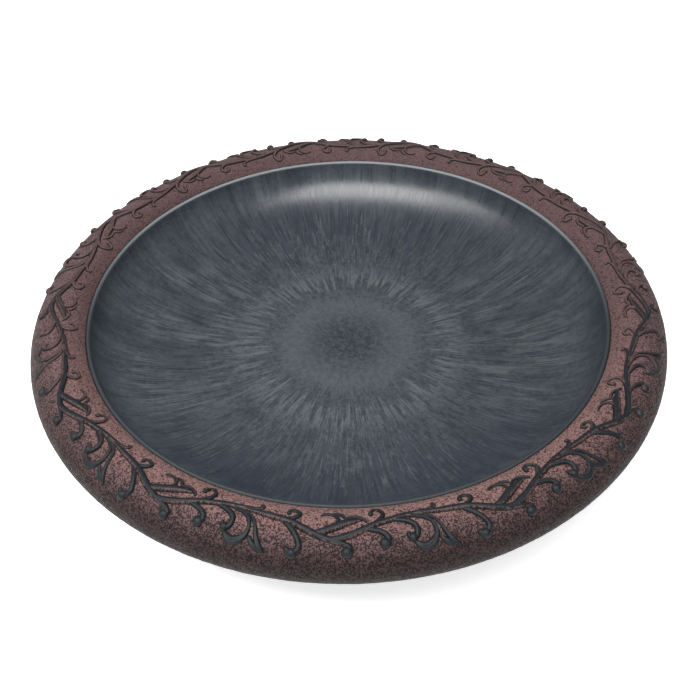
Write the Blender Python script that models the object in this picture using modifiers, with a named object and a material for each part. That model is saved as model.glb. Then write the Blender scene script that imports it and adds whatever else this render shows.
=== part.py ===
"""Bird bath bowl: a shallow round basin in a broad rolled rim, standing on a pedestal socket.

The basin is a turned dish with a beaded lip and a flange under the rim. The rim is a turned
hook-shaped shell that lies on the flange and is held by screws from below. The collar under the
floor is both the foot that the bowl stands on and the socket that a pedestal's neck twists into.
Lengths are in metres, +Z is up, and the origin is at the middle of the collar's foot.
"""

import math

import bpy
from mathutils import Matrix, Vector

# Rim: its crest is the highest circle, and its outer wall tucks under below its widest point.
OUTER_DIAMETER = 0.520
RIM_OUTER_SPAN = 0.0255
RIM_INNER_SPAN = 0.0195
RIM_CREST = 0.0085
RIM_SHOULDER = 0.0204
RIM_TUCK = math.radians(50)
RIM_WALL = 0.0030
RIM_EDGE_DROP = 0.0005

# Basin: a flat floor, an elliptical wall, a rounded lip and the flange that carries the rim.
BASIN_DEPTH = 0.056
FLOOR_RADIUS = 0.090
BASIN_WALL = 0.0034
FLANGE_WIDTH = 0.0130
FLANGE_DROP = 0.0035
FLANGE_THICKNESS = 0.0030

# Collar: a plain wall with a screw flange outside and bayonet lugs inside.
SOCKET_RADIUS = 0.0700
COLLAR_WALL = 0.0040
COLLAR_HEIGHT = 0.0252
COLLAR_FLANGE_WIDTH = 0.0150
COLLAR_FLANGE_THICKNESS = 0.0030
FOOT_CHAMFER = 0.0010
LUG_COUNT = 3
LUG_WIDTH = 0.0260
LUG_DEPTH = 0.0050
LUG_HEIGHT = 0.0040
LUG_LIFT = 0.0020
SEAT_STEP = 0.0010
SEAT_MARGIN = 0.0040

# Self-tapping pan-head screws: one kind for the rim and one for the collar.
SHANK_RADIUS = 0.0020
HEAD_RADIUS = 0.0040
HEAD_HEIGHT = 0.0024
DRIVE_RADIUS = 0.0016
DRIVE_DEPTH = 0.0012
RIM_SCREW_COUNT = 8
RIM_SCREW_BITE = 0.0046
RIM_SCREW_INSET = 0.0050
COLLAR_SCREW_COUNT = 4
COLLAR_SCREW_BITE = 0.0060
BOSS_RADIUS = 0.0055
BOSS_LENGTH = 0.0082

# The space kept between pieces that touch on the real bowl, and the overlap of joined shapes.
GAP = 0.0003
BITE = 0.0010

TURN_STEPS = 72
SCREW_STEPS = 12
ARC_STEPS = 10
SHARP_ANGLE = math.radians(35)
MERGE = 0.00001

# Places worked out from the sizes above. Heights with _Z are above the foot's plane.
LIP_RADIUS = OUTER_DIAMETER / 2 - RIM_OUTER_SPAN - RIM_INNER_SPAN
CREST_RADIUS = LIP_RADIUS + RIM_INNER_SPAN
BASIN_RADIUS = LIP_RADIUS - BASIN_WALL
FLANGE_RADIUS = LIP_RADIUS + FLANGE_WIDTH
FLOOR_UNDER_Z = COLLAR_HEIGHT + GAP
LIP_Z = FLOOR_UNDER_Z + BASIN_WALL + BASIN_DEPTH
COLLAR_OUTER_RADIUS = SOCKET_RADIUS + COLLAR_WALL
BOSS_CIRCLE = COLLAR_OUTER_RADIUS + COLLAR_FLANGE_WIDTH / 2
BOSS_END_Z = FLOOR_UNDER_Z - BOSS_LENGTH
COLLAR_FLANGE_TOP_Z = BOSS_END_Z - GAP
RIM_SCREW_CIRCLE = FLANGE_RADIUS - RIM_SCREW_INSET

# Colours are linear, as a Principled BSDF takes them.
SLATE_GREY = (0.050, 0.060, 0.068, 1.0)
RUST_BROWN = (0.130, 0.062, 0.052, 1.0)
DARK_GREY = (0.030, 0.034, 0.038, 1.0)
STEEL = (0.560, 0.560, 0.550, 1.0)


def clear_scene():
    for obj in list(bpy.data.objects):
        bpy.data.objects.remove(obj, do_unlink=True)


def new_collection(name):
    made = bpy.data.collections.new(name)
    bpy.context.scene.collection.children.link(made)
    return made


def new_material(name, colour, roughness, metallic=0.0):
    material = bpy.data.materials.new(name)
    material.use_nodes = True
    shader = material.node_tree.nodes["Principled BSDF"]
    shader.inputs["Base Color"].default_value = colour
    shader.inputs["Roughness"].default_value = roughness
    shader.inputs["Metallic"].default_value = metallic
    return material


def evaluated_mesh(obj):
    """The object's mesh with its modifiers applied, or a curve's mesh."""
    graph = bpy.context.evaluated_depsgraph_get()
    graph.update()
    return bpy.data.meshes.new_from_object(obj.evaluated_get(graph))


def placed(name, mesh, collection, material=None, parent=None):
    obj = bpy.data.objects.new(name, mesh)
    collection.objects.link(obj)
    obj.parent = parent
    if material:
        obj.data.materials.clear()
        obj.data.materials.append(material)
    return obj


def turned_mesh(name, profile, closed, steps=TURN_STEPS):
    """A profile of (radius, height) points swept a full turn about Z. An open one starts and ends on Z."""
    outline = bpy.data.meshes.new(name)
    edges = [(i, i + 1) for i in range(len(profile) - 1)]
    if closed:
        edges.append((len(profile) - 1, 0))
    outline.from_pydata([(radius, 0, height) for radius, height in profile], edges, [])
    guide = bpy.data.objects.new(name + "_outline", outline)
    bpy.context.scene.collection.objects.link(guide)
    screw = guide.modifiers.new("turn", "SCREW")
    screw.steps = steps
    screw.render_steps = steps
    screw.use_merge_vertices = True
    screw.merge_threshold = MERGE
    mesh = evaluated_mesh(guide)
    mesh.name = name
    bpy.data.objects.remove(guide, do_unlink=True)
    mesh.shade_smooth()
    mesh.set_sharp_from_angle(angle=SHARP_ANGLE)
    return mesh


def helper(obj):
    """Marks a shape that only cuts or joins another."""
    obj.hide_render = True
    obj.display_type = "WIRE"
    return obj


def cylinder(name, radius, bottom, top, centre, collection, parent):
    """An upright cylinder between two heights, over a point of the XY plane."""
    bpy.ops.mesh.primitive_cylinder_add(vertices=SCREW_STEPS, radius=radius, depth=top - bottom)
    obj = bpy.context.active_object
    obj.name = name
    for owner in list(obj.users_collection):
        owner.objects.unlink(obj)
    collection.objects.link(obj)
    obj.parent = parent
    obj.location = (centre.x, centre.y, (bottom + top) / 2)
    return helper(obj)


def add_boolean(obj, other, operation):
    modifier = obj.modifiers.new(f"{operation.lower()}_{other.name}", "BOOLEAN")
    modifier.operation = operation
    modifier.solver = "EXACT"
    modifier.object = other


def on_circle(radius, index, count, offset=0.0):
    """The point of a circle of `count` points that has this index, starting from +X."""
    angle = 2 * math.pi * (index + offset) / count
    return Vector((radius * math.cos(angle), radius * math.sin(angle), 0))


# ---------------------------------------------------------------- basin


def wall_point(share, offset=0.0):
    """A point of the basin's inner wall, from the floor (0) to the lip (1), moved out along its normal."""
    angle = share * math.pi / 2
    span = BASIN_RADIUS - FLOOR_RADIUS
    radius = FLOOR_RADIUS + span * math.sin(angle)
    height = LIP_Z - BASIN_DEPTH * math.cos(angle)
    normal = Vector((BASIN_DEPTH * math.sin(angle), -span * math.cos(angle))).normalized()
    return radius + offset * normal.x, height + offset * normal.y


def basin_profile():
    """From the middle of the floor, up the inner wall, over the lip and flange, and back underneath."""
    lip_bead = BASIN_WALL / 2
    bead_centre = LIP_RADIUS - lip_bead
    bead_steps = 6
    flange_top = LIP_Z - FLANGE_DROP
    seat_radius = SOCKET_RADIUS - LUG_DEPTH - SEAT_MARGIN
    points = [(0, LIP_Z - BASIN_DEPTH)]
    inner = [wall_point(i / ARC_STEPS) for i in range(ARC_STEPS + 1)]
    points += [point for point in inner if point[1] < LIP_Z - lip_bead]
    for i in range(bead_steps + 1):
        angle = math.pi * (1 - i / bead_steps)
        across, up = lip_bead * math.cos(angle), lip_bead * math.sin(angle)
        points.append((bead_centre + across, LIP_Z - lip_bead + up))
    points += [(LIP_RADIUS, flange_top), (FLANGE_RADIUS, flange_top)]
    points += [(FLANGE_RADIUS, flange_top - FLANGE_THICKNESS)]
    under = [wall_point(i / ARC_STEPS, BASIN_WALL) for i in range(ARC_STEPS, -1, -1)]
    below_flange = [point for point in under if point[1] < flange_top - FLANGE_THICKNESS - BASIN_WALL / 2]
    points += [(LIP_RADIUS, flange_top - FLANGE_THICKNESS)] + below_flange
    points += [(seat_radius, FLOOR_UNDER_Z), (seat_radius, FLOOR_UNDER_Z - SEAT_STEP)]
    points += [(0, FLOOR_UNDER_Z - SEAT_STEP)]
    return points


def make_basin(parts, cutters, parent, material):
    mesh = turned_mesh("basin", basin_profile(), closed=False)
    basin = placed("basin", mesh, parts, material, parent)
    for i in range(COLLAR_SCREW_COUNT):
        centre = on_circle(BOSS_CIRCLE, i, COLLAR_SCREW_COUNT)
        boss = cylinder(
            f"collar_boss_{i}", BOSS_RADIUS, BOSS_END_Z, FLOOR_UNDER_Z + BITE, centre, cutters, parent
        )
        add_boolean(basin, boss, "UNION")
        pilot_top = COLLAR_FLANGE_TOP_Z + GAP + COLLAR_SCREW_BITE + GAP
        pilot = cylinder(
            f"collar_pilot_{i}", SHANK_RADIUS + GAP, BOSS_END_Z - BITE, pilot_top, centre, cutters, parent
        )
        add_boolean(basin, pilot, "DIFFERENCE")
    for i in range(RIM_SCREW_COUNT):
        centre = on_circle(RIM_SCREW_CIRCLE, i, RIM_SCREW_COUNT)
        flange_under = LIP_Z - FLANGE_DROP - FLANGE_THICKNESS
        hole = cylinder(
            f"flange_hole_{i}",
            SHANK_RADIUS + GAP,
            flange_under - BITE,
            LIP_Z - FLANGE_DROP + BITE,
            centre,
            cutters,
            parent,
        )
        add_boolean(basin, hole, "DIFFERENCE")
    return basin


# ---------------------------------------------------------------- rim


def rim_shell_points():
    """(point, outward normal) along the rim's outside, from its inner edge over the crest to the tuck."""
    inner_edge = LIP_RADIUS + GAP
    span = CREST_RADIUS - inner_edge
    rise = RIM_CREST + RIM_EDGE_DROP
    inner_steps = 5
    found = []
    for i in range(inner_steps):
        radius = inner_edge + span * i / inner_steps
        away = (CREST_RADIUS - radius) / span
        slope = 2 * rise * away / span
        point = Vector((radius, LIP_Z + RIM_CREST - rise * away ** 2))
        found.append((point, Vector((-slope, 1)).normalized()))
    upper_steps, tuck_steps = 8, 5
    angles = [math.pi / 2 * (1 - i / upper_steps) for i in range(upper_steps)]
    angles += [-RIM_TUCK * i / tuck_steps for i in range(tuck_steps + 1)]
    shoulder_z = LIP_Z + RIM_CREST - RIM_SHOULDER
    for angle in angles:
        point = Vector(
            (CREST_RADIUS + RIM_OUTER_SPAN * math.cos(angle), shoulder_z + RIM_SHOULDER * math.sin(angle))
        )
        normal = Vector((math.cos(angle) / RIM_OUTER_SPAN, math.sin(angle) / RIM_SHOULDER)).normalized()
        found.append((point, normal))
    return found


def rim_profile():
    """The closed section: the outside, the lower edge, the inside, and the solid band on the flange."""
    shell = rim_shell_points()
    band_bottom = LIP_Z - FLANGE_DROP + GAP
    band_radius = FLANGE_RADIUS + GAP
    outside = [tuple(point) for point, _ in shell]
    inside = [point - normal * RIM_WALL for point, normal in reversed(shell)]
    inside = [point for point in inside if point.x > band_radius + BITE]
    last_point, last_normal = shell[-1]
    onwards = Vector((last_normal.y, -last_normal.x))
    edge_tip = last_point + (onwards - last_normal) * RIM_WALL / 2
    return (
        outside
        + [tuple(edge_tip)]
        + [tuple(point) for point in inside]
        + [(band_radius, inside[-1].y), (band_radius, band_bottom), (LIP_RADIUS + GAP, band_bottom)]
    )


def make_rim(parts, cutters, parent, material):
    mesh = turned_mesh("rim", rim_profile(), closed=True)
    rim = placed("rim", mesh, parts, material, parent)
    band_bottom = LIP_Z - FLANGE_DROP + GAP
    for i in range(RIM_SCREW_COUNT):
        centre = on_circle(RIM_SCREW_CIRCLE, i, RIM_SCREW_COUNT)
        pilot_top = band_bottom + RIM_SCREW_BITE + GAP
        pilot = cylinder(
            f"rim_pilot_{i}", SHANK_RADIUS + GAP, band_bottom - BITE, pilot_top, centre, cutters, parent
        )
        add_boolean(rim, pilot, "DIFFERENCE")
    return rim


# ---------------------------------------------------------------- collar


def collar_profile():
    """The closed section: the top edge, the wall outside with its flange, the foot, and the socket wall."""
    outer = COLLAR_OUTER_RADIUS
    flange_edge = outer + COLLAR_FLANGE_WIDTH
    flange_bottom = COLLAR_FLANGE_TOP_Z - COLLAR_FLANGE_THICKNESS
    return [
        (SOCKET_RADIUS, COLLAR_HEIGHT),
        (outer, COLLAR_HEIGHT),
        (outer, COLLAR_FLANGE_TOP_Z),
        (flange_edge, COLLAR_FLANGE_TOP_Z),
        (flange_edge, flange_bottom),
        (outer, flange_bottom),
        (outer, FOOT_CHAMFER),
        (outer - FOOT_CHAMFER, 0),
        (SOCKET_RADIUS + FOOT_CHAMFER, 0),
        (SOCKET_RADIUS, FOOT_CHAMFER),
    ]


def make_lug(index, collection, parent):
    """A block that stands inwards from the socket wall, for the pedestal's neck to twist behind."""
    bpy.ops.mesh.primitive_cube_add(size=1)
    lug = bpy.context.active_object
    lug.name = f"lug_{index}"
    for owner in list(lug.users_collection):
        owner.objects.unlink(lug)
    collection.objects.link(lug)
    depth = LUG_DEPTH + COLLAR_WALL / 2
    lug.data.transform(Matrix.Diagonal((depth, LUG_WIDTH, LUG_HEIGHT, 1)))
    centre = on_circle(SOCKET_RADIUS - LUG_DEPTH + depth / 2, index, LUG_COUNT, 0.25)
    lug.location = (centre.x, centre.y, LUG_LIFT + LUG_HEIGHT / 2)
    lug.rotation_euler.z = 2 * math.pi * (index + 0.25) / LUG_COUNT
    lug.parent = parent
    return helper(lug)


def make_collar(parts, cutters, parent, material):
    mesh = turned_mesh("pedestal_collar", collar_profile(), closed=True)
    collar = placed("pedestal_collar", mesh, parts, material, parent)
    for i in range(LUG_COUNT):
        add_boolean(collar, make_lug(i, cutters, parent), "UNION")
    for i in range(COLLAR_SCREW_COUNT):
        centre = on_circle(BOSS_CIRCLE, i, COLLAR_SCREW_COUNT)
        hole = cylinder(
            f"collar_hole_{i}",
            SHANK_RADIUS + GAP,
            COLLAR_FLANGE_TOP_Z - COLLAR_FLANGE_THICKNESS - BITE,
            COLLAR_FLANGE_TOP_Z + BITE,
            centre,
            cutters,
            parent,
        )
        add_boolean(collar, hole, "DIFFERENCE")
    return collar


# ---------------------------------------------------------------- screws


def screw_profile(length):
    """Head down, with the seat under the head at height 0 and the shank above it."""
    tip_chamfer = SHANK_RADIUS / 2
    head_edge = HEAD_HEIGHT / 3
    crown_radius = (HEAD_RADIUS + DRIVE_RADIUS) / 2
    return [
        (0, length),
        (SHANK_RADIUS - tip_chamfer, length),
        (SHANK_RADIUS, length - tip_chamfer),
        (SHANK_RADIUS, 0),
        (HEAD_RADIUS, 0),
        (HEAD_RADIUS, -head_edge),
        (crown_radius, -HEAD_HEIGHT),
        (DRIVE_RADIUS, -HEAD_HEIGHT),
        (DRIVE_RADIUS, -HEAD_HEIGHT + DRIVE_DEPTH),
        (0, -HEAD_HEIGHT + DRIVE_DEPTH),
    ]


def make_screws(prefix, count, circle, seat_z, length, parts, parent, material):
    """A ring of equal screws that share one mesh, each with its seat GAP below the surface it clamps."""
    mesh = turned_mesh(prefix, screw_profile(length), closed=False, steps=SCREW_STEPS)
    for i in range(count):
        screw = placed(f"{prefix}_{i + 1}", mesh, parts, material, parent)
        screw.location = on_circle(circle, i, count) + Vector((0, 0, seat_z - GAP))


def main():
    clear_scene()
    parts = new_collection("bird_bath")
    cutters = new_collection("cutters")
    root = bpy.data.objects.new("bird_bath_origin", None)
    parts.objects.link(root)
    slate = new_material("slate_resin", SLATE_GREY, 0.38)
    rust = new_material("rust_textured_resin", RUST_BROWN, 0.75)
    dark = new_material("collar_resin", DARK_GREY, 0.55)
    steel = new_material("stainless_steel", STEEL, 0.35, 1.0)
    make_basin(parts, cutters, root, slate)
    make_rim(parts, cutters, root, rust)
    make_collar(parts, cutters, root, dark)
    flange_under = LIP_Z - FLANGE_DROP - FLANGE_THICKNESS
    rim_screw_length = GAP + FLANGE_THICKNESS + GAP + RIM_SCREW_BITE
    make_screws(
        "rim_screw",
        RIM_SCREW_COUNT,
        RIM_SCREW_CIRCLE,
        flange_under,
        rim_screw_length,
        parts,
        root,
        steel,
    )
    collar_screw_length = GAP + COLLAR_FLANGE_THICKNESS + GAP + COLLAR_SCREW_BITE
    make_screws(
        "collar_screw",
        COLLAR_SCREW_COUNT,
        BOSS_CIRCLE,
        COLLAR_FLANGE_TOP_Z - COLLAR_FLANGE_THICKNESS,
        collar_screw_length,
        parts,
        root,
        steel,
    )


main()
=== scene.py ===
import math

import bmesh
import bpy
import numpy as np
from mathutils import Matrix, Vector, noise


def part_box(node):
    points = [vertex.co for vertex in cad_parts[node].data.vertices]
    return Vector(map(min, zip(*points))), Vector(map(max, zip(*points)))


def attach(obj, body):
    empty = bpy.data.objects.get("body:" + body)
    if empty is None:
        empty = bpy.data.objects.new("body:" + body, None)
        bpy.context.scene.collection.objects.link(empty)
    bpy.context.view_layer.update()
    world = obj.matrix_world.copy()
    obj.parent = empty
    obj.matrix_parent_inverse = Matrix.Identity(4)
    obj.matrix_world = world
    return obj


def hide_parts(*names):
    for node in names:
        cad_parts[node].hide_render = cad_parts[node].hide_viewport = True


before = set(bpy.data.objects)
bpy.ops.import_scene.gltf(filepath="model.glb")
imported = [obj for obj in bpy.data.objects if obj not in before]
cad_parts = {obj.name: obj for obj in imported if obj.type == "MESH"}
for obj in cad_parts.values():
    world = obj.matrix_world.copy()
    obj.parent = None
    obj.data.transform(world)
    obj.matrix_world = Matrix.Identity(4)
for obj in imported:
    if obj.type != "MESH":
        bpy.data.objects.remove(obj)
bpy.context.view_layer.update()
scene = bpy.context.scene

# ---------------------------------------------------------------- camera
# A product shot from a standing height: the camera looks down into the bowl at about 44 degrees.
# Its distance and aim are shares of the lip's radius, and it is rolled by a little over a degree.
lip_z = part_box("basin")[1].z
lip_radius = 0.2150
camera_pitch = math.radians(43.97)
camera_roll = math.radians(-1.283)
camera_distance = 3.0262 * lip_radius
camera_aside = -0.00514 * lip_radius
camera_drop = 0.22418 * lip_radius

ahead = Vector((0, math.cos(camera_pitch), -math.sin(camera_pitch)))
sideways = Vector((1, 0, 0))
upwards = Vector((0, math.sin(camera_pitch), math.cos(camera_pitch)))
camera_data = bpy.data.cameras.new("camera")
camera_data.sensor_width = 36
camera_data.lens = 39.73
camera = bpy.data.objects.new("camera", camera_data)
scene.collection.objects.link(camera)
place = Vector((0, 0, lip_z)) - ahead * camera_distance
place = place - sideways * camera_aside - upwards * camera_drop
tilt = Matrix.Rotation(math.pi / 2 - camera_pitch, 4, "X") @ Matrix.Rotation(camera_roll, 4, "Z")
camera.matrix_world = Matrix.Translation(place) @ tilt
scene.camera = camera

# ---------------------------------------------------------------- studio
# A white sweep that glows a little, under a wide soft box overhead on the near side and a smaller
# one on the left: the basin's glaze reflects both. A sheet behind fills the shadows unreflected.
scene.view_settings.view_transform = "Standard"
world = bpy.data.worlds.new("studio_air")
scene.world = world
world.use_nodes = True
air = world.node_tree.nodes["Background"]
air.inputs["Color"].default_value = (1.0, 1.0, 1.0, 1.0)
air.inputs["Strength"].default_value = 0.22


def soft_light(name, place, target, size, power, reflected):
    """A rectangular soft box at a place, turned to face a target."""
    lamp = bpy.data.lights.new(name, "AREA")
    lamp.shape = "RECTANGLE"
    lamp.size, lamp.size_y = size
    lamp.energy = power
    holder = bpy.data.objects.new(name, lamp)
    holder.visible_glossy = reflected
    scene.collection.objects.link(holder)
    facing = (Vector(target) - Vector(place)).to_track_quat("-Z", "Y")
    holder.matrix_world = Matrix.Translation(Vector(place)) @ facing.to_matrix().to_4x4()


soft_light("overhead_box", (-0.14, -0.45, 1.32), (-0.02, 0.12, 0.05), (1.05, 0.70), 22.0, True)
soft_light("side_box", (-0.90, -0.30, 1.15), (0, 0, 0.05), (0.60, 0.55), 5.5, True)
soft_light("back_sheet", (-0.7, 1.50, 1.30), (0, 0, 0.05), (2.0, 1.2), 12.0, False)

sweep_mesh = bpy.data.meshes.new("sweep")
sweep_shape = bmesh.new()
bmesh.ops.create_grid(sweep_shape, x_segments=1, y_segments=1, size=4.0)
sweep_shape.to_mesh(sweep_mesh)
sweep_shape.free()
sweep = bpy.data.objects.new("sweep", sweep_mesh)
scene.collection.objects.link(sweep)
sweep_paint = bpy.data.materials.new("white_sweep")
sweep_paint.use_nodes = True
sweep_shader = sweep_paint.node_tree.nodes["Principled BSDF"]
sweep_shader.inputs["Base Color"].default_value = (0.95, 0.95, 0.95, 1.0)
sweep_shader.inputs["Roughness"].default_value = 0.95
sweep_shader.inputs["Emission Color"].default_value = (1.0, 1.0, 1.0, 1.0)
sweep_shader.inputs["Emission Strength"].default_value = 0.68
sweep_mesh.materials.append(sweep_paint)

# ---------------------------------------------------------------- basin
# The dish that holds the water: one moulding of dark resin with a flat floor, a rising wall, a
# beaded lip, and a flange that the rim lies on. It is glazed slate grey with a dry brush.
floor_radius = 0.090
basin_wall = 0.0034
flange_drop = 0.0035
flange_thickness = 0.0030
flange_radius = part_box("basin")[1].x
fit_gap = 0.0003
floor_under_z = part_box("pedestal_collar")[1].z + fit_gap
floor_z = floor_under_z + basin_wall
basin_depth = lip_z - floor_z
basin_radius = lip_radius - basin_wall
seat_radius = 0.0610
seat_step = 0.0010


def round_copies(shape, count):
    """Repeats everything in a shape round Z, so that it is there count times in all."""
    first = shape.verts[:] + shape.edges[:] + shape.faces[:]
    for i in range(1, count):
        copy = bmesh.ops.duplicate(shape, geom=first)["geom"]
        turned = [part for part in copy if isinstance(part, bmesh.types.BMVert)]
        about_z = Matrix.Rotation(2 * math.pi * i / count, 3, "Z")
        bmesh.ops.rotate(shape, verts=turned, cent=(0, 0, 0), matrix=about_z)


def full_turn(profile, sectors, steps, closed, marks=None):
    """A shape turned about Z from (radius, height) points, in equal sectors of some steps each.

    The vertices keep their profile point's mark, in a layer that the materials can read.
    """
    shape = bmesh.new()
    layer = shape.verts.layers.float.new("section")
    points = [shape.verts.new((radius, 0, height)) for radius, height in profile]
    for point, mark in zip(points, marks or [0.0] * len(points)):
        point[layer] = mark
    edges = [shape.edges.new(pair) for pair in zip(points, points[1:])]
    if closed:
        edges.append(shape.edges.new((points[-1], points[0])))
    sector = 2 * math.pi / sectors
    turning = {"cent": (0, 0, 0), "axis": (0, 0, 1), "angle": sector, "steps": steps}
    bmesh.ops.spin(shape, geom=points + edges, **turning)
    round_copies(shape, sectors)
    bmesh.ops.remove_doubles(shape, verts=shape.verts, dist=2e-6)
    bmesh.ops.recalc_face_normals(shape, faces=shape.faces)
    return shape


def finish_piece(name, shape, sharp_angle=math.radians(40)):
    """Turns a bmesh into a smooth-shaded object at the origin that rides on the bowl."""
    mesh = bpy.data.meshes.new(name)
    shape.to_mesh(mesh)
    shape.free()
    mesh.shade_smooth()
    mesh.set_sharp_from_angle(angle=sharp_angle)
    piece = bpy.data.objects.new(name, mesh)
    scene.collection.objects.link(piece)
    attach(piece, "root")
    return piece


def dish_wall(share, outwards=0.0):
    """A point of the wall, from the floor's edge (0) to the lip (1), moved out along its normal."""
    angle = share * math.pi / 2
    span = basin_radius - floor_radius
    radius = floor_radius + span * math.sin(angle)
    height = lip_z - basin_depth * math.cos(angle)
    across = Vector((basin_depth * math.sin(angle), -span * math.cos(angle))).normalized()
    return radius + outwards * across.x, height + outwards * across.y


bead = basin_wall / 2
dish_profile = [(floor_radius * i / 12, floor_z) for i in range(12)]
dish_profile += [dish_wall(i / 48) for i in range(48) if dish_wall(i / 48)[1] < lip_z - bead]
for i in range(13):
    turn = math.pi * (1 - i / 12)
    bead_spot = (lip_radius - bead + bead * math.cos(turn), lip_z - bead + bead * math.sin(turn))
    dish_profile.append(bead_spot)
flange_top = lip_z - flange_drop
flange_under = flange_top - flange_thickness
dish_profile += [(lip_radius, flange_top), (flange_radius, flange_top)]
dish_profile += [(flange_radius, flange_under), (lip_radius, flange_under)]
under = [dish_wall(i / 24, basin_wall) for i in range(24, -1, -1)]
dish_profile += [point for point in under if point[1] < flange_under - bead]
dish_profile += [(seat_radius, floor_under_z), (seat_radius, floor_under_z - seat_step)]
dish_profile += [(0, floor_under_z - seat_step)]
basin = finish_piece("basin_dish", full_turn(dish_profile, 12, 30, False))
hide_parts("basin")


class Nodes:
    """Shorthand for building one material's node tree."""

    def __init__(self, name):
        self.material = bpy.data.materials.new(name)
        self.material.use_nodes = True
        self.tree = self.material.node_tree
        self.shader = self.tree.nodes["Principled BSDF"]

    def add(self, kind, **settings):
        node = self.tree.nodes.new(kind)
        for key, value in settings.items():
            setattr(node, key, value)
        return node

    def plug(self, source, socket):
        """Sets a socket to a number, a colour or another node's output."""
        if isinstance(source, bpy.types.NodeSocket):
            self.tree.links.new(source, socket)
        else:
            socket.default_value = source

    def math(self, operation, first, second=0.0, third=0.0):
        node = self.add("ShaderNodeMath", operation=operation)
        for socket, value in zip(node.inputs, (first, second, third)):
            self.plug(value, socket)
        return node.outputs[0]

    def times(self, first, second):
        return self.math("MULTIPLY", first, second)

    def scaled(self, value, gain, base):
        """value * gain + base."""
        return self.math("MULTIPLY_ADD", value, gain, base)

    def centred(self, value):
        """A 0 to 1 pattern moved to lie about zero."""
        return self.math("SUBTRACT", value, 0.5)

    def blend(self, factor, first, second):
        """A colour between two colours."""
        node = self.add("ShaderNodeMix", data_type="RGBA")
        self.plug(factor, node.inputs["Factor"])
        self.plug(first, node.inputs["A"])
        self.plug(second, node.inputs["B"])
        return node.outputs["Result"]

    def ramp(self, value, *stops):
        """A colour from stops along a value, each (position, colour)."""
        node = self.add("ShaderNodeValToRGB")
        self.plug(value, node.inputs[0])
        elements = node.color_ramp.elements
        while len(elements) < len(stops):
            elements.new(1.0)
        for element, (position, colour) in zip(elements, stops):
            element.position = position
            element.color = colour
        return node.outputs["Color"]

    def noise(self, where, scale, detail=2.0, roughness=0.5, distortion=0.0):
        node = self.add("ShaderNodeTexNoise")
        self.plug(where, node.inputs["Vector"])
        node.inputs["Scale"].default_value = scale
        node.inputs["Detail"].default_value = detail
        node.inputs["Roughness"].default_value = roughness
        node.inputs["Distortion"].default_value = distortion
        return node.outputs["Fac"]

    def smooth(self, value, low, high):
        """0 below low, 1 above high, and a smooth step between."""
        node = self.add("ShaderNodeMapRange", interpolation_type="SMOOTHSTEP")
        self.plug(value, node.inputs["Value"])
        self.plug(low, node.inputs["From Min"])
        self.plug(high, node.inputs["From Max"])
        return node.outputs["Result"]

    def coordinates(self, kind):
        return self.add("ShaderNodeTexCoord").outputs[kind]

    def split(self, vector):
        """The x, y and z of a vector."""
        node = self.add("ShaderNodeSeparateXYZ")
        self.plug(vector, node.inputs[0])
        return node.outputs

    def attribute(self, name):
        return self.add("ShaderNodeAttribute", attribute_name=name).outputs["Fac"]

    def bump(self, height, strength, distance):
        """Fine relief on the shader's normal: distance in metres."""
        node = self.add("ShaderNodeBump")
        node.inputs["Strength"].default_value = strength
        node.inputs["Distance"].default_value = distance
        self.plug(height, node.inputs["Height"])
        self.plug(node.outputs["Normal"], self.shader.inputs["Normal"])

    def vector(self, x, y, z):
        """A vector from its x, y and z."""
        node = self.add("ShaderNodeCombineXYZ")
        for socket, value in zip(node.inputs, (x, y, z)):
            self.plug(value, socket)
        return node.outputs[0]


def srgb(*display):
    """A linear colour, with its alpha, from three display values of 0 to 255."""
    shares = [value / 255 for value in display]
    linear = [((c + 0.055) / 1.055) ** 2.4 if c > 0.0393 else c / 12.92 for c in shares]
    return (*linear, 1.0)


# The glaze. Its dark middle, its rings and its strokes go by the distance from the middle, with
# ragged borders where the brush ran in and out.
paint = Nodes("brushed_slate_glaze")
where = paint.coordinates("Object")
x, y, z = paint.split(where)
radius = paint.math("SQRT", paint.math("ADD", paint.times(x, x), paint.times(y, y)))
safe_radius = paint.math("MAXIMUM", radius, 0.002)
cosine = paint.math("DIVIDE", x, safe_radius)
sine = paint.math("DIVIDE", y, safe_radius)


def streaks(fineness, length, seed, detail=3.0):
    """Noise stretched along the radius: fineness is per radian, length is in metres."""
    spot = paint.vector(
        paint.times(cosine, fineness),
        paint.times(sine, fineness),
        paint.scaled(radius, 1 / length, seed),
    )
    return paint.noise(spot, 1.0, detail, 0.55, 0.15)


broad = streaks(5.0, 0.060, 3.0)
medium = streaks(20.0, 0.030, 11.0)
fine = streaks(54.0, 0.030, 27.0)
hair = streaks(140.0, 0.026, 41.0, 2.0)
blotch = paint.noise(where, 60.0, 6.0, 0.70, 0.5)
brushed = paint.smooth(radius, 0.035, 0.085)
wall = paint.smooth(radius, 0.120, 0.170)
ragged = paint.times(paint.centred(medium), 0.100)
ragged = paint.scaled(paint.centred(fine), 0.085, ragged)
ragged = paint.scaled(paint.centred(broad), 0.030, ragged)
smudge_reach = paint.scaled(paint.smooth(radius, 0.030, 0.060), 0.022, 0.008)
smudged = paint.scaled(paint.centred(blotch), smudge_reach, radius)
edge = paint.scaled(ragged, brushed, smudged)
zone = paint.ramp(
    paint.math("DIVIDE", edge, 0.215),
    (0.000, srgb(37, 42, 49)),
    (0.070, srgb(39, 44, 51)),
    (0.150, srgb(55, 60, 66)),
    (0.210, srgb(63, 69, 73)),
    (0.280, srgb(66, 72, 76)),
    (0.290, srgb(47, 52, 57)),
    (0.390, srgb(53, 58, 63)),
    (0.468, srgb(66, 72, 76)),
    (0.478, srgb(44, 49, 55)),
    (0.620, srgb(57, 62, 67)),
    (0.740, srgb(56, 61, 66)),
    (0.860, srgb(52, 57, 63)),
    (1.000, srgb(62, 68, 74)),
)

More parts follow.
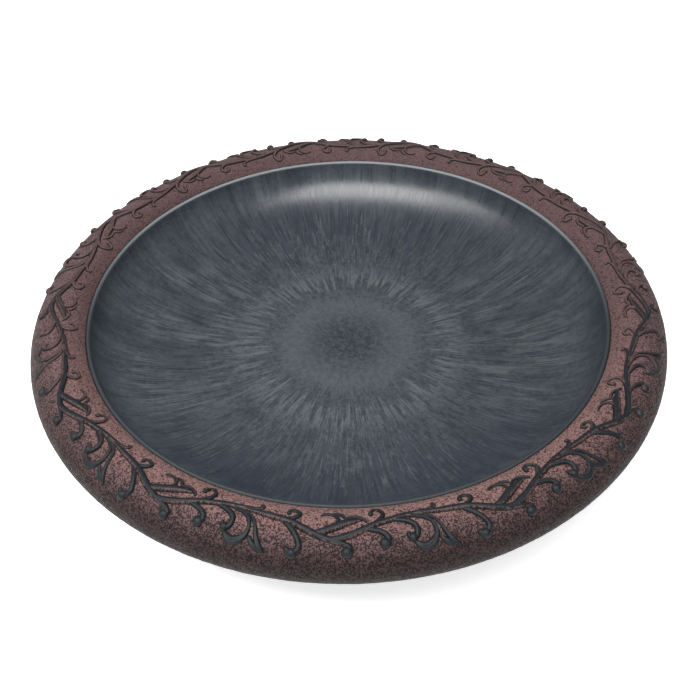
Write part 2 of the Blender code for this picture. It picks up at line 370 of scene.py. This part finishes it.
# Strokes of the dry brush, lighter and darker, which fade below the lip.
strokes = paint.scaled(wall, paint.math("SUBTRACT", hair, fine), fine)
strokes = paint.scaled(strokes, 0.40, paint.times(medium, 0.42))
strokes = paint.scaled(hair, 0.18, strokes)
clump = paint.smooth(broad, 0.36, 0.62)
outside_disc = paint.smooth(edge, 0.098, 0.106)
calm = paint.scaled(paint.smooth(radius, 0.176, 0.194), -0.65, 1.0)
weight = paint.times(brushed, paint.scaled(outside_disc, 0.50, 0.50))
weight = paint.times(weight, calm)
lighter = paint.times(paint.smooth(strokes, 0.510, 0.565), weight)
darker = paint.times(paint.smooth(strokes, 0.485, 0.420), weight)
lighter = paint.times(lighter, paint.scaled(clump, 0.6, 0.4))
mottle = paint.smooth(paint.noise(where, 240.0, 5.0, 0.72, 0.8), 0.42, 0.60)
fringe = paint.times(paint.smooth(edge, 0.084, 0.098), paint.smooth(edge, 0.106, 0.101))
fringe = paint.times(fringe, paint.smooth(strokes, 0.46, 0.54))
bluish = paint.times(paint.smooth(broad, 0.50, 0.34), outside_disc)
# Painted shade: the glaze is darker on the right side of the bowl, outside the dark middle.
shaded = paint.times(paint.smooth(x, -0.02, 0.14), paint.smooth(radius, 0.085, 0.120))
glaze = zone
for share, strength, tint in (
    (mottle, 0.36, srgb(86, 91, 97)),
    (fringe, 0.45, srgb(92, 98, 101)),
    (lighter, 0.54, srgb(92, 98, 101)),
    (darker, 0.58, srgb(32, 37, 45)),
    (bluish, 0.42, srgb(34, 40, 52)),
    (shaded, 0.26, srgb(28, 33, 38)),
):
    glaze = paint.blend(paint.times(share, strength), glaze, tint)

# A painted dark reflection: a darker band round the near and far wall, where the glaze mirrors the
# dark room.
lengthways = paint.math("DIVIDE", paint.math("ABSOLUTE", y), safe_radius)
painted_reflection_walls = paint.smooth(lengthways, 0.35, 0.90)
spiked = paint.scaled(ragged, 1.4, edge)
band = paint.times(paint.smooth(spiked, 0.143, 0.153), paint.smooth(smudged, 0.206, 0.186))
band = paint.times(paint.times(band, painted_reflection_walls), 0.66)
glaze = paint.blend(band, glaze, srgb(33, 40, 52))
# A grey line on the bead of the lip: bare resin, with a painted highlight, light on the far side
# and dark on the near side.
bare_lip_and_highlight = paint.blend(paint.smooth(y, -0.06, 0.19), srgb(36, 41, 46), srgb(124, 131, 136))
near_top = paint.smooth(z, lip_z - 0.0018, lip_z - 0.0010)
on_bead = paint.times(near_top, paint.smooth(radius, 0.2090, 0.2100))
glaze = paint.blend(on_bead, glaze, bare_lip_and_highlight)
paint.plug(glaze, paint.shader.inputs["Base Color"])
beaded = paint.times(paint.smooth(radius, 0.2105, 0.2125), 0.35)
dullness = paint.scaled(strokes, 0.42, paint.math("ADD", beaded, 0.10))
paint.plug(dullness, paint.shader.inputs["Roughness"])
paint.shader.inputs["Specular IOR Level"].default_value = 0.62
paint.bump(strokes, 0.16, 0.0006)
basin.data.materials.append(paint.material)

# ---------------------------------------------------------------- collar bosses
# Four short tubes under the basin's floor, moulded with it in the same resin and glaze. The screws
# that hold the pedestal collar are driven up into them.
boss_radius = 0.0055
boss_bore = 0.0023
boss_length = 0.0082
boss_sunk = 0.0002
boss_top = floor_under_z + boss_sunk
boss_bottom = floor_under_z - boss_length
tube = [(boss_radius, boss_top), (boss_radius, boss_bottom)]
tube += [(boss_bore, boss_bottom), (boss_bore, boss_top)]
boss_shape = bmesh.new()
for i in range(1, 5):
    low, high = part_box(f"collar_screw_{i}")
    boss = full_turn(tube, 4, 8, True)
    screw_place = ((low.x + high.x) / 2, (low.y + high.y) / 2, 0)
    bmesh.ops.translate(boss, verts=boss.verts, vec=screw_place)
    holder = bpy.data.meshes.new("one_boss")
    boss.to_mesh(holder)
    boss.free()
    boss_shape.from_mesh(holder)
bosses = finish_piece("collar_bosses", boss_shape)
bosses.data.materials.append(paint.material)

# ---------------------------------------------------------------- rim
# The broad rolled rim: a hook-shaped shell of textured resin that lies on the basin's flange. Its
# brown coat gets darker outwards, partly a darker spray from outside and partly painted shade, and
# the pits of its pebbled skin hold a black wash.
crest_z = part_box("rim")[1].z
outer_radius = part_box("rim")[1].x
rim_inner_span = 0.0195
rim_outer_span = outer_radius - lip_radius - rim_inner_span
rim_shoulder = 0.0204
rim_tuck = math.radians(50)
rim_wall = 0.0030
edge_drop = 0.0005
hidden_mark = 0.12
crest_radius = lip_radius + rim_inner_span


def rim_section(steps):
    """Points of the rim's outside with their normals, from its inner edge to the tuck."""
    inner_edge = lip_radius + fit_gap
    span = crest_radius - inner_edge
    rise = crest_z - lip_z + edge_drop
    found = []
    for i in range(steps):
        inwards = 1 - i / steps
        slope = 2 * rise * inwards / span
        spot = Vector((inner_edge + span * i / steps, crest_z - rise * inwards**2))
        found.append((spot, Vector((-slope, 1)).normalized()))
    shoulder_z = crest_z - rim_shoulder
    arc_steps = steps * 3
    for i in range(arc_steps + 1):
        angle = math.pi / 2 - (math.pi / 2 + rim_tuck) * i / arc_steps
        cosine, sine = math.cos(angle), math.sin(angle)
        spot = Vector((crest_radius + rim_outer_span * cosine, shoulder_z + rim_shoulder * sine))
        found.append((spot, Vector((cosine / rim_outer_span, sine / rim_shoulder)).normalized()))
    return found


section = rim_section(200)
lengths = np.cumsum([0] + [(b[0] - a[0]).length for a, b in zip(section, section[1:])])
section_table = np.array([[spot.x, spot.y, out.x, out.y] for spot, out in section])


def on_section(along):
    """Radius, height and the normal's two parts, at distances along the section."""
    return [np.interp(along, lengths, section_table[:, column]) for column in range(4)]


row_length = 0.0011
rows = int(lengths[-1] / row_length)
outside = [lengths[-1] * i / rows for i in range(rows + 1)]
radii, heights, out_r, out_z = on_section(outside)
skin = list(zip(radii, heights))
band_bottom = lip_z - flange_drop + fit_gap
band_radius = flange_radius + fit_gap
surface = zip(radii, heights, out_r, out_z)
lining = [(r - nr * rim_wall, h - nz * rim_wall) for r, h, nr, nz in surface]
lining = [point for point in lining[::-8] if point[0] > band_radius + 0.001]
last_r, last_z = skin[-1]
tip = (
    last_r + (out_z[-1] - out_r[-1]) * rim_wall / 2,
    last_z + (-out_r[-1] - out_z[-1]) * rim_wall / 2,
)
band = [(band_radius, lining[-1][1]), (band_radius, band_bottom)]
band += [(lip_radius + fit_gap, band_bottom)]
rim_profile = skin + [tip] + lining + band
marks = outside + [hidden_mark] * (len(rim_profile) - len(skin))
rim_shape = full_turn(rim_profile, 13, 88, True, marks)
mark = rim_shape.verts.layers.float["section"]
pebble_height = 0.00016
smooth_edge = 0.0015
for vert in rim_shape.verts:
    if smooth_edge < vert[mark] < hidden_mark - 0.02:
        rough = noise.noise(vert.co * 330) + 0.6 * noise.noise(vert.co * 95 + Vector((3, 1, 7)))
        outwards = vert.co.copy()
        outwards.z = 0
        outwards.normalize()
        _, _, nr, nz = on_section(vert[mark])
        vert.co += (outwards * nr + Vector((0, 0, nz))) * (rough - 0.4) * pebble_height
rim = finish_piece("rim_skin", rim_shape, math.radians(60))
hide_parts("rim")

near_side_reach = 0.24


def near_side(nodes, y):
    """0 at the far side of the bowl and 1 at the near side, where the washes are heaviest and the
    painted light and shade are strongest.
    """
    return nodes.scaled(y, -0.5 / near_side_reach, 0.5)


# The coat, a pinkish brown with fine specks, carries painted light and shade. On the near side it
# is painted light near the lip and darkens outwards into painted shade over a darker spray; on the
# far side it is darker at the lip and lighter further out. Its pits grow outwards into a maze of
# black wash, denser and darker on the near side.
rust = Nodes("rust_pebbled_coat")
where = rust.coordinates("Object")
nearness = near_side(rust, rust.split(where)[1])
section_mm = rust.times(rust.attribute("section"), 1000.0)
patchy = rust.noise(where, 28.0, 3.0, 0.6)
maze = rust.noise(where, 500.0, 1.0, 0.5, 0.5)
speck = rust.noise(where, 900.0, 0.6, 0.5, 0.3)
grain = rust.noise(where, 1500.0, 2.0, 0.6)
wander = rust.scaled(rust.centred(patchy), 14.0, section_mm)
outer = rust.smooth(wander, 14.0, 40.0)
outwards = rust.math("DIVIDE", wander, 80.0)
# Near side: painted light near the lip, painted shade to near black outwards.
near_coat_painted_light = rust.ramp(
    outwards,
    (0.00, srgb(128, 100, 97)),
    (0.12, srgb(134, 103, 99)),
    (0.28, srgb(117, 88, 86)),
    (0.42, srgb(88, 67, 68)),
    (0.56, srgb(45, 31, 34)),
    (0.72, srgb(17, 10, 12)),
)
# Far side: painted shade at the lip, painted light further out.
far_coat_painted_light = rust.ramp(
    outwards,
    (0.00, srgb(80, 61, 62)),
    (0.20, srgb(91, 70, 71)),
    (0.40, srgb(97, 76, 78)),
    (1.00, srgb(52, 39, 42)),
)
coat = rust.blend(rust.smooth(nearness, 0.45, 1.0), far_coat_painted_light, near_coat_painted_light)
lively = rust.scaled(rust.centred(grain), 0.5, 0.5)
coat = rust.blend(rust.times(lively, 0.18), coat, srgb(150, 118, 112))
opened = rust.scaled(outer, 0.036, 0.030)
opened = rust.scaled(rust.centred(nearness), 0.016, opened)
groove = rust.math("ABSOLUTE", rust.centred(maze))
pits = rust.smooth(groove, rust.math("ADD", opened, 0.026), rust.math("ADD", opened, 0.004))
broken = rust.smooth(speck, 0.32, 0.44)
pits = rust.times(pits, broken)
specks = rust.smooth(grain, 0.38, 0.32)
depth = rust.scaled(nearness, 0.22, 0.62)
dark = rust.times(rust.math("MAXIMUM", pits, rust.times(specks, 0.6)), depth)
ground = rust.blend(dark, coat, srgb(13, 10, 12))
rust.plug(ground, rust.shader.inputs["Base Color"])
rust.plug(rust.scaled(dark, 0.15, 0.62), rust.shader.inputs["Roughness"])
rust.shader.inputs["Specular IOR Level"].default_value = 0.18
rust.bump(rust.math("SUBTRACT", grain, rust.times(pits, 1.6)), 0.45, 0.0004)
rim.data.materials.append(rust.material)

# ---------------------------------------------------------------- vine
# The vine scroll that is moulded on the rim, thirteen repeats of one motif: two stems that cross,
# hooks and bulbs, a tulip, a crescent and a lance leaf. It stands about 2 mm proud of the rim.
# It is drawn flat, in mm, and then bent onto the rim.
repeats = 13
flat_per_degree = 4.31
section_per_unit = 215.0
vine_radius = 0.235
stems = [
    # Points of a stroke's middle line: degrees round the rim, share along the section, width in mm.
    [(-5.5, 0.131, 2.2), (-3.4, 0.142, 3.6), (-1.7, 0.138, 4.2), (0, 0.127, 4.3),
     (2, 0.111, 4.3), (4, 0.096, 4.2), (6, 0.087, 4.0), (8, 0.079, 3.8), (10, 0.075, 3.3),
     (11.8, 0.072, 2.8), (12.9, 0.065, 2.6), (13.4, 0.055, 2.5), (13.2, 0.048, 2.2)],
    [(9.5, 0.079, 1.6), (12, 0.079, 3.0), (14, 0.083, 3.9), (16, 0.087, 4.2), (18, 0.094, 4.3),
     (20, 0.109, 4.4), (22, 0.127, 4.4), (23.8, 0.14, 4.2), (25.4, 0.149, 3.6),
     (26.6, 0.156, 3.2), (27.3, 0.166, 3.4), (27.2, 0.175, 3.4)],
    [(22.2, 0.125, 3.4), (23.6, 0.117, 4.6), (25, 0.105, 5.4), (26.2, 0.095, 5.2),
     (27.4, 0.088, 4.0), (28.5, 0.083, 2.6), (29.2, 0.08, 1.4)],
]
tendrils = [
    [(2.6, 0.107, 2.4), (3.6, 0.095, 3.4), (4.5, 0.079, 3.2), (4.9, 0.062, 2.9),
     (4.7, 0.048, 2.6), (4.2, 0.037, 2.4), (3.6, 0.035, 2.3), (3.15, 0.042, 2.4),
     (2.95, 0.054, 2.8), (2.95, 0.058, 2.6)],
    [(1.6, 0.113, 2.2), (2.8, 0.116, 3.2), (3.9, 0.121, 3.4), (4.8, 0.131, 3.6),
     (5.2, 0.145, 3.8), (5.0, 0.156, 3.8)],
    [(6.0, 0.088, 2.2), (7.4, 0.093, 3.2), (8.6, 0.101, 3.6), (9.4, 0.114, 3.6),
     (9.6, 0.131, 3.6), (9.3, 0.147, 3.6), (8.6, 0.152, 3.2), (8.2, 0.142, 2.4),
     (8.4, 0.132, 1.8)],
    [(17.2, 0.091, 2.4), (18.4, 0.084, 3.0), (19.2, 0.074, 3.1), (19.5, 0.062, 2.9),
     (19.1, 0.053, 2.6), (18.4, 0.048, 2.5), (17.75, 0.052, 2.5), (17.6, 0.06, 2.6),
     (17.7, 0.065, 2.2)],
    [(17.2, 0.096, 2.4), (18.4, 0.114, 3.4), (19.2, 0.131, 3.5), (19.8, 0.15, 3.5),
     (20.05, 0.167, 3.6), (19.7, 0.181, 3.8), (19.0, 0.187, 4.2), (18.45, 0.18, 3.6),
     (18.35, 0.17, 2.4)],
    [(24.3, 0.112, 2.2), (25.2, 0.097, 2.8), (25.6, 0.083, 2.7), (25.4, 0.069, 2.4),
     (24.8, 0.059, 2.2), (24.0, 0.055, 2.1), (23.2, 0.057, 1.9), (22.7, 0.063, 1.1)],
    [(24.9, 0.05, 1.2), (25.7, 0.054, 2.0), (26.3, 0.062, 2.4), (26.6, 0.074, 1.3)],
    [(26.5, 0.076, 1.2), (27.3, 0.069, 2.1), (28.2, 0.068, 2.4), (29.0, 0.073, 2.5),
     (29.6, 0.082, 2.2), (30.0, 0.09, 1.0)],
]
leaves = [
    [(8.6, 0.083, 1.6), (10.4, 0.09, 2.2), (11.6, 0.103, 2.3), (12.2, 0.121, 2.3),
     (12.35, 0.141, 2.6), (12.0, 0.161, 3.6), (11.2, 0.176, 5.0), (10.3, 0.182, 5.2),
     (9.5, 0.174, 4.0), (8.9, 0.161, 1.4)],
    [(9.8, 0.083, 1.4), (11.4, 0.09, 2.0), (12.5, 0.104, 2.2), (13.1, 0.123, 2.3),
     (13.5, 0.145, 2.5), (13.9, 0.164, 3.2), (14.3, 0.18, 3.8), (14.8, 0.191, 2.8),
     (15.3, 0.2, 1.0)],
    [(12.6, 0.159, 1.6), (13.1, 0.172, 2.8), (13.7, 0.184, 3.4), (14.4, 0.191, 2.4)],
]
bulbs = [
    # The middle of a bulb, its diameter in mm and its height in mm.
    (26.9, 0.178, 7.2, 3.1),
    (4.65, 0.158, 7.2, 3.0),
    (19.15, 0.188, 6.8, 3.0),
    (8.75, 0.15, 5.8, 2.6),
    (13.15, 0.051, 3.2, 1.6),
    (2.95, 0.057, 3.8, 1.8),
    (17.7, 0.063, 3.4, 1.7),
]
crown = (-1.0, -0.92, -0.75, -0.5, -0.22, 0.0, 0.22, 0.5, 0.75, 0.92, 1.0)
stroke_step = 1.1
tallest = 2.25
skirt_reach = 0.55
skirt_depth = 0.35
# The skirt's mark lies past the crown's edge, so the dark line round the stroke, partly painted
# shade, covers the skirt.
skirt_mark = 1.6
bulb_middle = 0.3


def through(points):
    """Even stations on a smooth curve through a stroke's points: x, y and width in mm."""
    path = np.array([(p[0] * flat_per_degree, p[1] * section_per_unit, p[2]) for p in points])
    path = np.vstack([2 * path[0] - path[1], path, 2 * path[-1] - path[-2]])
    dense = []
    for p0, p1, p2, p3 in zip(path, path[1:], path[2:], path[3:]):
        for t in np.linspace(0, 1, 12, endpoint=False):
            square = (2 * p0 - 5 * p1 + 4 * p2 - p3) * t**2
            cube = (3 * p1 - p0 - 3 * p2 + p3) * t**3
            dense.append(0.5 * (2 * p1 + (p2 - p0) * t + square + cube))
    dense = np.array(dense + [path[-2]])
    gone = np.concatenate([[0], np.cumsum(np.hypot(*np.diff(dense[:, :2], axis=0).T))])
    at = np.linspace(0, gone[-1], max(4, round(gone[-1] / stroke_step)))
    ends = [0, 0.25, 0.7, gone[-1] - 0.7, gone[-1] - 0.25, gone[-1]]
    at = np.unique(np.concatenate([ends, at[1:-1]]))
    return np.array([np.interp(at, gone, dense[:, k]) for k in range(3)]).T, at


def add_stroke(shape, points, rope, groove):
    """A tapered ridge along a stroke: a rounded crown on a skirt that sinks into the rim."""
    stations, at = through(points)
    ahead = np.gradient(stations[:, :2], axis=0)
    ahead /= np.linalg.norm(ahead, axis=1)[:, None]
    layers = shape.verts.layers.float
    ring = bmesh.ops.create_circle(shape, segments=len(crown) + 2, radius=1.0)["verts"]
    loop = list({edge for vert in ring for edge in vert.link_edges})
    bmesh.ops.contextual_create(shape, geom=loop)
    for (px, py, width), (dx, dy), gone in zip(stations, ahead, at):
        half = width / 2
        left = min(gone, at[-1] - gone)
        if left < half:
            half *= max(0.12, math.sqrt(1 - (1 - left / half) ** 2))
        tall = min(tallest, 0.35 + 0.85 * half)
        spots = [(half * u, tall * (0.10 + 0.90 * (1 - u * u) ** 0.45)) for u in crown]
        if groove:
            cut = [groove * tall * math.exp(-((u / half / 0.30) ** 2)) for u, _ in spots]
            spots = [(u, h - deep) for (u, h), deep in zip(spots, cut)]
        reach = half + skirt_reach
        spots = [(-reach, -skirt_depth)] + spots + [(reach, -skirt_depth)]
        if gone > 0:
            grown = bmesh.ops.extrude_edge_only(shape, edges=loop)["geom"]
            fresh = {part for part in grown if isinstance(part, bmesh.types.BMVert)}
            nearby = [[edge.other_vert(vert) for edge in vert.link_edges] for vert in ring]
            ring = [next(vert for vert in around if vert in fresh) for around in nearby]
            edges = [part for part in grown if isinstance(part, bmesh.types.BMEdge)]
            loop = [edge for edge in edges if fresh.issuperset(edge.verts)]
        for vert, (u, h) in zip(ring, spots):
            vert.co = (px - dy * u, py + dx * u, h)
            on_crown = abs(u) <= half
            vert[layers["across"]] = u / half if on_crown else math.copysign(skirt_mark, u)
            vert[layers["along"]] = gone
            vert[layers["rope"]] = rope
    bmesh.ops.contextual_create(shape, geom=loop)


def add_bulb(shape, degrees, share, diameter, tall):
    """A flattened ball at the end of a tendril, its lower half inside the rim."""
    middle = Vector((degrees * flat_per_degree, share * section_per_unit, bulb_middle))
    squash = Matrix.Diagonal((diameter / 2, diameter / 2, tall - bulb_middle, 1))
    ball = {"u_segments": 16, "v_segments": 10, "radius": 1.0}
    ball["matrix"] = Matrix.Translation(middle) @ squash
    for vert in bmesh.ops.create_uvsphere(shape, **ball)["verts"]:
        away = (vert.co - middle).xy.length / (diameter / 2)
        vert[shape.verts.layers.float["across"]] = away if vert.co.z > bulb_middle else 1.3
        vert[shape.verts.layers.float["along"]] = vert.co.x


def vine_piece(name, strokes, balls):
    """One part of the motif, bent onto the rim and repeated all the way round."""
    shape = bmesh.new()
    for layer in ("across", "along", "rope"):
        shape.verts.layers.float.new(layer)
    for points, rope, groove in strokes:
        add_stroke(shape, points, rope, groove)
    for ball in balls:
        add_bulb(shape, *ball)
    flat = np.array([vert.co for vert in shape.verts])
    reach, height, out_r, out_z = on_section(flat[:, 1] / 1000)
    turn = np.radians(flat[:, 0] / flat_per_degree)
    reach = reach + out_r * flat[:, 2] / 1000
    height = height + out_z * flat[:, 2] / 1000
    for vert, r, h, t in zip(shape.verts, reach, height, turn):
        vert.co = (r * math.sin(t), -r * math.cos(t), h)
    bmesh.ops.recalc_face_normals(shape, faces=shape.faces)
    round_copies(shape, repeats)
    piece = finish_piece(name, shape, math.radians(70))
    piece.data.materials.append(vine.material)
    return piece


# The wash, with painted shade. Slate on what faces out of the bowl and on the near side, brown
# elsewhere; the extra slate on the near side is painted shade. Dashes run along the roped flank of
# each stem, and the dark line round every stroke is partly wash in the crease and partly painted
# shade.
vine = Nodes("slate_wash_and_shade_vine")
where = vine.coordinates("Object")
x, y, _ = vine.split(where)
nx, ny, _ = vine.split(vine.coordinates("Normal"))
dot = vine.math("ADD", vine.times(x, nx), vine.times(y, ny))
facing = vine.math("DIVIDE", dot, vine_radius)
nearness = near_side(vine, y)
across = vine.attribute("across")
along = vine.attribute("along")
rope = vine.attribute("rope")
patchy = vine.noise(where, 90.0, 3.0, 0.6)
grain = vine.noise(where, 900.0, 2.0, 0.6)
# Painted shade: the slate grows on the near side, over the wash on outward faces and on the stems.
spray_and_painted_shade = vine.scaled(facing, 0.25, vine.scaled(rope, 0.30, nearness))
spray_and_painted_shade = vine.scaled(vine.centred(patchy), 0.40, spray_and_painted_shade)
slate_share = vine.smooth(spray_and_painted_shade, 0.50, 0.95)
slate = vine.blend(vine.smooth(grain, 0.35, 0.70), srgb(15, 19, 23), srgb(32, 38, 43))
brown = vine.blend(vine.smooth(grain, 0.35, 0.65), srgb(66, 50, 50), srgb(94, 73, 72))
slate = vine.blend(vine.smooth(nearness, 0.30, 0.75), srgb(34, 31, 34), slate)
coat = vine.blend(slate_share, brown, slate)
dash_spot = vine.vector(vine.times(along, 0.75), vine.times(across, 0.9), 5.0)
dashes = vine.smooth(vine.noise(dash_spot, 1.0, 2.0, 0.5, 0.6), 0.52, 0.44)
flank_start = vine.scaled(nearness, 0.45, -0.10)
flank = vine.times(rope, vine.smooth(across, flank_start, vine.math("ADD", flank_start, 0.25)))
roped = vine.blend(dashes, srgb(90, 68, 67), srgb(20, 18, 21))
coat = vine.blend(vine.times(flank, 0.85), coat, roped)
# The dark line round every stroke: partly wash in the crease, partly painted crease shade.
outline_start = vine.scaled(nearness, 0.35, 0.50)
outline_full = vine.math("ADD", outline_start, 0.30)
outline_wash_and_shade = vine.smooth(vine.math("ABSOLUTE", across), outline_start, outline_full)
coat = vine.blend(vine.times(outline_wash_and_shade, 0.88), coat, srgb(20, 19, 22))
vine.plug(coat, vine.shader.inputs["Base Color"])
vine.plug(vine.scaled(grain, 0.25, 0.42), vine.shader.inputs["Roughness"])
vine.shader.inputs["Specular IOR Level"].default_value = 0.3
vine.bump(grain, 0.35, 0.0003)
leaf_groove = 0.22
stem_strokes = [(points, 1.0, 0.0) for points in stems]
stem_strokes += [(points, 0.0, leaf_groove) for points in leaves]
vine_piece("vine_stems", stem_strokes, [])
vine_piece("vine_tendrils", [(points, 0.0, 0.0) for points in tendrils], bulbs)

# ---------------------------------------------------------------- collar and screws
# The pedestal collar is a plain moulding in satin dark resin, a little scuffed. The screws are
# stainless pan heads with turning marks round their heads.
collar_paint = Nodes("satin_dark_resin")
where = collar_paint.coordinates("Object")
cloudy = collar_paint.noise(where, 45.0, 5.0, 0.6, 0.4)
pebbled = collar_paint.noise(where, 900.0, 2.0, 0.5)
satin = collar_paint.ramp(cloudy, (0.35, srgb(40, 44, 48)), (0.65, srgb(57, 62, 66)))
scuffed = collar_paint.smooth(collar_paint.noise(where, 160.0, 6.0, 0.7, 1.0), 0.62, 0.70)
satin = collar_paint.blend(collar_paint.times(scuffed, 0.25), satin, srgb(98, 102, 104))
collar_paint.plug(satin, collar_paint.shader.inputs["Base Color"])
collar_paint.plug(collar_paint.scaled(cloudy, 0.25, 0.38), collar_paint.shader.inputs["Roughness"])
collar_paint.bump(pebbled, 0.20, 0.0003)

steel = Nodes("stainless_steel")
where = steel.coordinates("Object")
turned = steel.noise(where, 1400.0, 3.0, 0.6)
steel_grey = steel.ramp(turned, (0.35, srgb(176, 177, 176)), (0.65, srgb(206, 206, 204)))
steel.plug(steel_grey, steel.shader.inputs["Base Color"])
steel.shader.inputs["Metallic"].default_value = 1.0
steel.plug(steel.scaled(turned, 0.20, 0.24), steel.shader.inputs["Roughness"])
steel.bump(turned, 0.10, 0.0001)
for name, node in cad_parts.items():
    if name == "pedestal_collar":
        node.material_slots[0].material = collar_paint.material
    if "screw" in name:
        node.material_slots[0].material = steel.material
